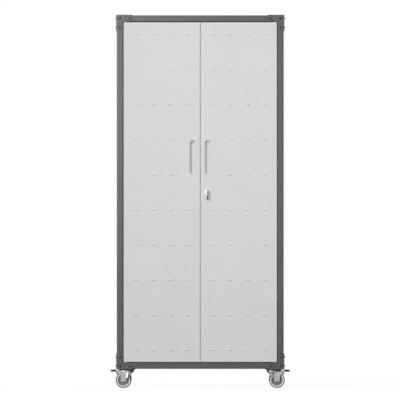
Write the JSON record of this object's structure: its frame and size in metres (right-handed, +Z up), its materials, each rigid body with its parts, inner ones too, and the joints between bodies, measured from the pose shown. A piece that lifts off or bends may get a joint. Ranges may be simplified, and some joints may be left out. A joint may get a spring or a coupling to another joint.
{
  "type": "mobile storage cabinet",
  "caption": "Tall storage cabinet on swivel casters: bolted square-tube frame, sheet-steel walls, shelves, and two hinged doors with recessed pulls and a key lock.",
  "frame": {"origin": "on the floor, under the middle of the frame", "axes": "+X to the right seen from the front, +Y to the back, +Z up; the doors face -Y"},
  "size_m": [0.858, 0.4176, 1.7888],
  "materials": {
    "frame_paint": "satin dark grey powder coat",
    "body_paint": "fine light grey powder coat",
    "zinc_plate": "zinc plated",
    "chrome": "polished",
    "steel": "plain",
    "wheel_rubber": "grey tread on a grey hub",
    "black_plastic": "moulded"
  },
  "bodies": {
    "cabinet": {"post_front_left": "frame_paint", "post_front_right": "frame_paint", "post_rear_left": "frame_paint", "post_rear_right": "frame_paint", "rail_bottom_front": "frame_paint", "rail_bottom_rear": "frame_paint", "rail_bottom_left": "frame_paint", "rail_bottom_right": "frame_paint", "rail_top_front": "frame_paint", "rail_top_rear": "frame_paint", "rail_top_left": "frame_paint", "rail_top_right": "frame_paint", "bracket_bottom_front_left": "frame_paint", "bracket_bottom_front_right": "frame_paint", "bracket_bottom_rear_left": "frame_paint", "bracket_bottom_rear_right": "frame_paint", "bracket_top_front_left": "frame_paint", "bracket_top_front_right": "frame_paint", "bracket_top_rear_left": "frame_paint", "bracket_top_rear_right": "frame_paint", "side_panel_left": "body_paint", "side_panel_right": "body_paint", "back_panel": "body_paint", "top_panel": "body_paint", "floor_panel": "body_paint", "shelf_1": "body_paint", "shelf_2": "body_paint", "shelf_3": "body_paint", "shelf_4": "body_paint", "hinge_pin_bottom_left": "steel", "hinge_pin_bottom_right": "steel", "hinge_pin_top_left": "steel", "hinge_pin_top_right": "steel", "caster_plate_front_left": "zinc_plate", "caster_plate_front_right": "zinc_plate", "caster_plate_rear_left": "zinc_plate", "caster_plate_rear_right": "zinc_plate"},
    "door_left": {"door_left": "body_paint", "door_channel_left": "body_paint", "pull_cup_left": "body_paint"},
    "door_right": {"door_right": "body_paint", "door_channel_right": "body_paint", "pull_cup_right": "body_paint", "lock_housing": "chrome"},
    "lock_plug": {"lock_plug": "chrome"},
    "key_bow": {"key_bow": "black_plastic"},
    "caster_front_left": {"caster_fork_front_left": "zinc_plate", "caster_axle_front_left": "steel"},
    "wheel_front_left": {"caster_wheel_front_left": "wheel_rubber"},
    "pedal_front_left": {"brake_pedal_front_left": "black_plastic"},
    "caster_front_right": {"caster_fork_front_right": "zinc_plate", "caster_axle_front_right": "steel"},
    "wheel_front_right": {"caster_wheel_front_right": "wheel_rubber"},
    "pedal_front_right": {"brake_pedal_front_right": "black_plastic"},
    "caster_rear_left": {"caster_fork_rear_left": "zinc_plate", "caster_axle_rear_left": "steel"},
    "wheel_rear_left": {"caster_wheel_rear_left": "wheel_rubber"},
    "caster_rear_right": {"caster_fork_rear_right": "zinc_plate", "caster_axle_rear_right": "steel"},
    "wheel_rear_right": {"caster_wheel_rear_right": "wheel_rubber"}
  },
  "joints": [
    {"name": "door_left_swing", "type": "hinge", "parent": "cabinet", "child": "door_left", "pos_m": [-0.358, -0.1935, 0.93902], "axis": [0, 0, -1], "range_deg": [0, 110]},
    {"name": "door_right_swing", "type": "hinge", "parent": "cabinet", "child": "door_right", "pos_m": [0.358, -0.1935, 0.93902], "axis": [0, 0, 1], "range_deg": [0, 110]},
    {"name": "lock_turn", "type": "hinge", "parent": "door_right", "child": "lock_plug", "pos_m": [0.034, -0.2033, 0.93902], "axis": [0, 1, 0], "range_deg": [0, 90]},
    {"name": "key_bow_fold", "type": "hinge", "parent": "lock_plug", "child": "key_bow", "pos_m": [0.034, -0.2088, 0.93902], "axis": [-1, 0, 0], "range_deg": [0, 90]},
    {"name": "swivel_front_left", "type": "hinge", "parent": "cabinet", "child": "caster_front_left", "pos_m": [-0.352, -0.152, 0.08272], "axis": [0, 0, 1], "continuous": true},
    {"name": "wheel_spin_front_left", "type": "hinge", "parent": "caster_front_left", "child": "wheel_front_left", "pos_m": [-0.368, -0.152, 0.0375], "axis": [0, 1, 0], "continuous": true},
    {"name": "brake_front_left", "type": "hinge", "parent": "caster_front_left", "child": "pedal_front_left", "pos_m": [-0.395, -0.152, 0.07232], "axis": [0, -1, 0], "range_deg": [0, 12]},
    {"name": "swivel_front_right", "type": "hinge", "parent": "cabinet", "child": "caster_front_right", "pos_m": [0.352, -0.152, 0.08272], "axis": [0, 0, 1], "continuous": true},
    {"name": "wheel_spin_front_right", "type": "hinge", "parent": "caster_front_right", "child": "wheel_front_right", "pos_m": [0.368, -0.152, 0.0375], "axis": [0, 1, 0], "continuous": true},
    {"name": "brake_front_right", "type": "hinge", "parent": "caster_front_right", "child": "pedal_front_right", "pos_m": [0.395, -0.152, 0.07232], "axis": [0, 1, 0], "range_deg": [0, 12]},
    {"name": "swivel_rear_left", "type": "hinge", "parent": "cabinet", "child": "caster_rear_left", "pos_m": [-0.352, 0.152, 0.08272], "axis": [0, 0, 1], "continuous": true},
    {"name": "wheel_spin_rear_left", "type": "hinge", "parent": "caster_rear_left", "child": "wheel_rear_left", "pos_m": [-0.368, 0.152, 0.0375], "axis": [0, 1, 0], "continuous": true},
    {"name": "swivel_rear_right", "type": "hinge", "parent": "cabinet", "child": "caster_rear_right", "pos_m": [0.352, 0.152, 0.08272], "axis": [0, 0, 1], "continuous": true},
    {"name": "wheel_spin_rear_right", "type": "hinge", "parent": "caster_rear_right", "child": "wheel_rear_right", "pos_m": [0.368, 0.152, 0.0375], "axis": [0, 1, 0], "continuous": true}
  ]
}
